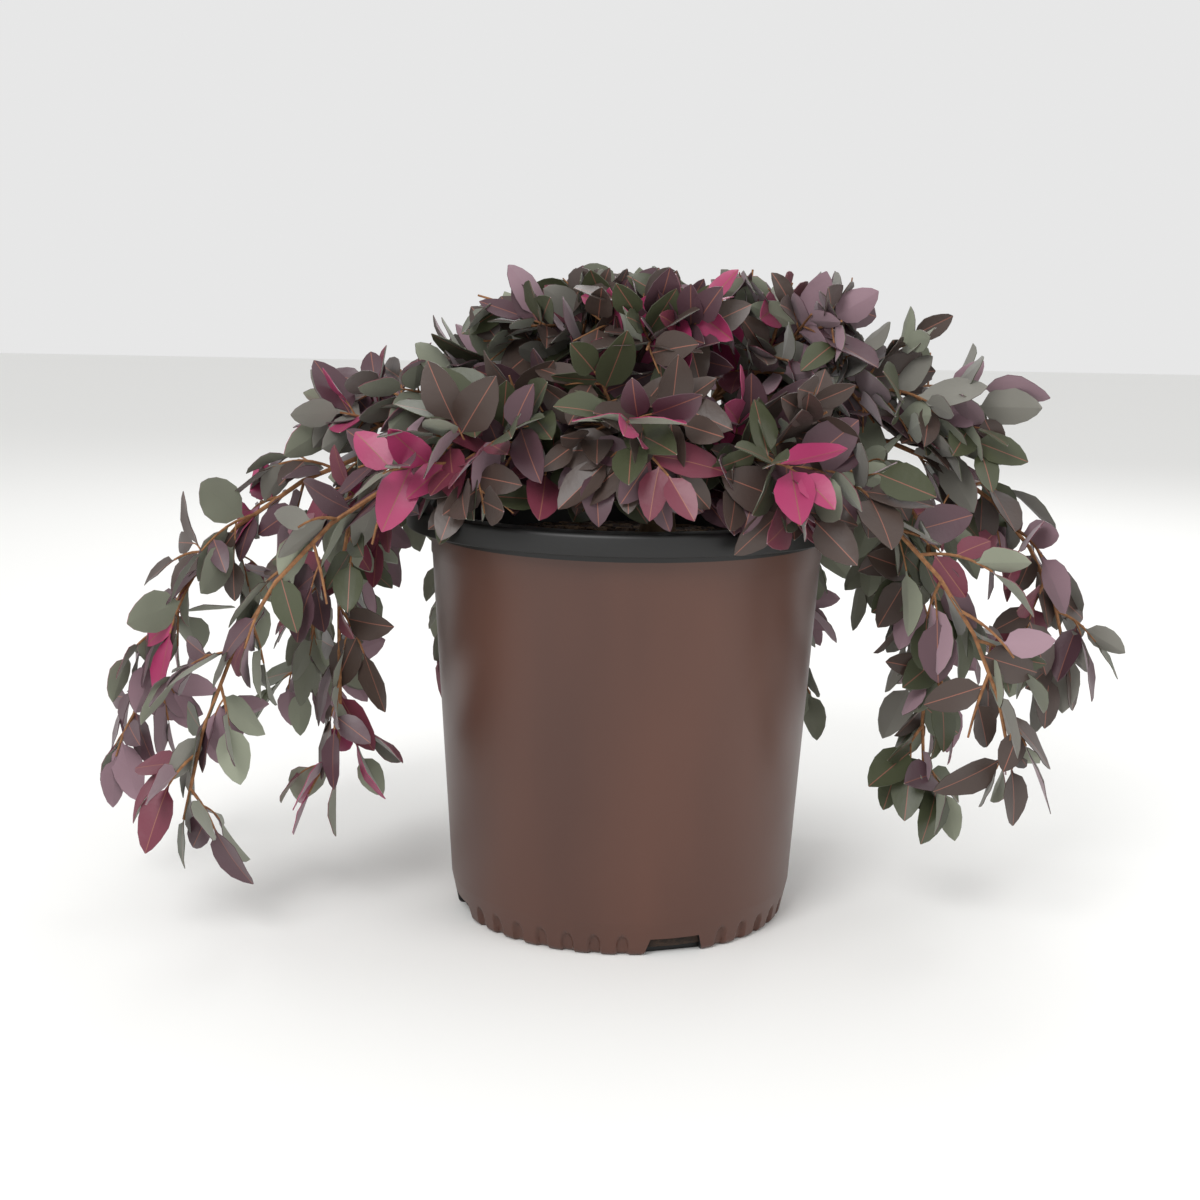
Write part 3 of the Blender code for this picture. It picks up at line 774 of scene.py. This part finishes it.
def add_leaf(leaves, frame, rows, upper, under):
    """Adds one closed blade. Its two sheets are split alike, so that they can't cross."""
    vertices, faces, slots = leaves
    base = len(vertices)
    for row in rows:
        vertices.extend(frame @ point for point in row)
    for index in range(len(rows) - 1):
        a = base + COLUMNS * index
        b = a + COLUMNS
        for column, slot in enumerate((upper, RIB_SLOT, upper)):
            left, right = column, column + 1
            faces += [(a + left, b + left, b + right), (a + left, b + right, a + right)]
            low, high = left + 4, right + 4
            faces += [(a + low, b + high, b + low), (a + low, a + high, b + high)]
            slots += [slot, slot, under, under]
        faces += [(a + 3, b + 3, b + 7, a + 7), (a + 4, b + 4, b, a)]
        slots += [upper, upper]
    end = base + COLUMNS * (len(rows) - 1)
    faces += [(base, base + 1, base + 2, base + 3, base + 7, base + 6, base + 5, base + 4)]
    faces += [(end + 4, end + 5, end + 6, end + 7, end + 3, end + 2, end + 1, end)]
    slots += [under, under]


def spray_colours(rng, place):
    """The slots of one spray's upper side and underside, by where in the crown it is."""
    zone = "crown"
    if abs(place.x) > SIDE_REACH:
        zone = "left" if place.x < 0 else "right"
    upper = rng.choices(range(len(UPPER_COLOURS)), SPRAY_SHARES[zone])[0]
    under = rng.choices(range(len(UNDER_COLOURS)), UNDER_SHARES[zone])[0]
    return upper, FIRST_UNDER + under


def grow_leaves(points, habit, room, rng, leaves, parity):
    """Leaves on alternate sides of a twig and one at its tip. They share the colours of a spray."""
    upper, under = spray_colours(rng, points[-1])
    length = path_length(points)
    count = max(1, round(length / habit.leaf_step))
    for index in range(count + 1):
        at_tip = index == count
        share = 1.0 if at_tip else (index + BEFORE_LEAF) / (count + AFTER_LEAVES)
        place, way = along(points, share)
        for _ in range(TRIES):
            side = (-1) ** (index + parity)
            lean = side * math.radians(LEAF_ANGLE + swing(rng, LEAF_LEAN_SWING))
            if at_tip:
                lean = math.radians(swing(rng, TIP_LEAN_SWING))
            roll = math.radians(rng.gauss(0, LEAF_ROLL_SPREAD))
            frame = leaf_frame(place, way, lean, roll, habit.droop * rng.uniform(*LEAF_DROOPS))
            rows = leaf_points(rng.uniform(*LEAF_LENGTHS), rng)
            middle, tip = rows[4], rows[-1]
            if room.holds([frame @ middle[0], frame @ middle[3], frame @ tip[1]]):
                add_leaf(leaves, frame, rows, upper, under)
                break


def grow_mass(limb, stems, twig_material, leaf_materials):
    """One mass: its stem, twigs by the golden angle, finer twigs on these, and all their leaves."""
    rng = random.Random(f"{SEED} {limb.name}")
    habit = HABITS[limb.habit]
    room = Room(limb, stems)
    stem = stems[limb.name]
    wood, leaves = ([], []), ([], [], [])
    add_tube(*wood, stem, taper(*STEM_RADII, len(stem)), TWIG_SIDES)
    sparser = habit._replace(leaf_step=STEM_LEAF_STEPS * habit.leaf_step)
    grow_leaves(stem[BARE_STEM_POINTS:], sparser, room, rng, leaves, 0)
    count = round(path_length(stem) / habit.twig_step)
    for index in range(count):
        share = FIRST_TWIG + (LAST_TWIG - FIRST_TWIG) * index / (count - 1)
        root, way = along(stem, share)
        for attempt in range(TRIES):
            turn = GOLDEN_ANGLE * index + TWIG_TURN * attempt
            roll = math.radians(turn + swing(rng, TWIG_ROLL_SWING))
            lean = math.radians(TWIG_ANGLE + rng.uniform(*TWIG_LEANS))
            length = habit.twig_share * room.spread * rng.uniform(*TWIG_LENGTHS)
            length *= 1 - TWIG_SHORTENING * share
            twig = branch(root, way, roll, lean, length, habit.droop)
            if not room.holds(twig[2:]):
                continue
            add_tube(*wood, twig, taper(*TWIG_RADII, len(twig)), TWIG_SIDES)
            grow_leaves(twig, habit, room, rng, leaves, index)
            grow_fine(twig, length, habit, room, rng, wood, leaves)
            break
    twigs = make_object(limb.name + "_twigs", *wood, [twig_material])
    blades = make_object(limb.name + "_leaves", leaves[0], leaves[1], leaf_materials, leaves[2])
    return twigs, blades


def grow_fine(twig, length, habit, room, rng, wood, leaves):
    """Finer twigs on alternate sides of a twig, with leaves. One that leaves the room is left out."""
    for index in range(habit.fine_twigs):
        root, way = along(twig, FIRST_FINE + FINE_STEP * index + swing(rng, FINE_SHIFT))
        roll = math.radians(180 * index + swing(rng, FINE_ROLL_SWING))
        lean = math.radians(TWIG_ANGLE + swing(rng, FINE_LEAN_SWING))
        fine = branch(root, way, roll, lean, length * rng.uniform(*FINE_LENGTHS), habit.droop)
        if room.holds(fine[2:]):
            add_tube(*wood, fine, taper(*FINE_RADII, len(fine)), TWIG_SIDES)
            grow_leaves(fine, habit, room, rng, leaves, index)


def make_camera():
    pitch, roll = math.radians(CAMERA_PITCH), math.radians(CAMERA_ROLL)
    ahead = Vector((0.0, math.cos(pitch), -math.sin(pitch)))
    above = Vector((0.0, math.sin(pitch), math.cos(pitch)))
    level = Vector((1.0, 0.0, 0.0))
    right = math.cos(roll) * level + math.sin(roll) * above
    top = -math.sin(roll) * level + math.cos(roll) * above
    data = bpy.data.cameras.new("camera")
    data.lens = CAMERA_LENS
    data.sensor_width = SENSOR
    camera = bpy.data.objects.new("camera", data)
    matrix = Matrix((right, top, -ahead)).transposed().to_4x4()
    matrix.translation = CAMERA_PLACE
    camera.matrix_world = matrix
    bpy.context.scene.collection.objects.link(camera)
    bpy.context.scene.camera = camera


def make_light(name, place, size, power):
    data = bpy.data.lights.new(name, "AREA")
    data.size = size
    data.energy = power
    light = bpy.data.objects.new(name, data)
    light.location = place
    aim = LIGHT_AIM - Vector(place)
    light.rotation_euler = aim.to_track_quat("-Z", "Y").to_euler()
    bpy.context.scene.collection.objects.link(light)


def make_stage():
    """A plain pale floor, soft light from the upper front, and a white surround."""
    pale, _ = new_material("pale_floor", FLOOR_COLOUR, 0.9)
    reach = FLOOR_REACH
    corners = [(-reach, -reach, 0), (reach, -reach, 0), (reach, reach, 0), (-reach, reach, 0)]
    make_object("floor", corners, [(0, 1, 2, 3)], [pale], smooth=False)
    world = bpy.data.worlds.new("surround")
    world.use_nodes = True
    world.node_tree.nodes["Background"].inputs["Color"].default_value = (1.0, 1.0, 1.0, 1.0)
    world.node_tree.nodes["Background"].inputs["Strength"].default_value = SURROUND_STRENGTH
    bpy.context.scene.world = world
    bpy.context.scene.view_settings.view_transform = "Standard"
    for light in LIGHTS:
        make_light(*light)


def add_piece(piece, slot, *nodes):
    """The piece rides on the root body, and stands for those CAD nodes."""
    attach(piece, "root")
    if nodes:
        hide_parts(*nodes)


def main():
    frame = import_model()
    rng = random.Random(SEED)

    bronze = moulded_plastic("bronze_plastic", *BRONZE, 0.34, 0.46)
    black = moulded_plastic("black_plastic", *BLACK, 0.42, 0.55)
    soil = rough_matter("compost", *COMPOST, 260.0, 0.0015)
    bark = rough_matter("bark", *BARK, 180.0, 0.0008, UPRIGHT_GRAIN)
    twig = rough_matter("twig_bark", *TWIG_BARK, 300.0, 0.0003)
    chips = []
    for name, shades in CHIPS.items():
        chips.append(rough_matter("chip_" + name, *shades, 400.0, 0.0005, CHIP_GRAIN))
    leaf_materials = make_leaf_materials()

    add_piece(make_pot(bronze, black), "pot_plastic", "pot")
    soil_body = frame["nodes"]["soil"]
    soil_body.data.materials.clear()
    soil_body.data.materials.append(soil)
    add_piece(make_chips(rng, chips), "potting_soil")

    paths = limb_paths()
    boughs = [name + "_bough" for name in paths if name != "trunk"]
    add_piece(make_bark(paths, rng, bark), "bark", "trunk", *boughs)
    stems = {limb.name: stem_path(limb, paths) for limb in LIMBS}
    for limb in LIMBS:
        twigs, blades = grow_mass(limb, stems, twig, leaf_materials)
        add_piece(twigs, "bark", limb.name + "_foliage")
        add_piece(blades, "leaves", limb.name + "_foliage")

    make_stage()
    make_camera()
    bpy.context.view_layer.update()


main()
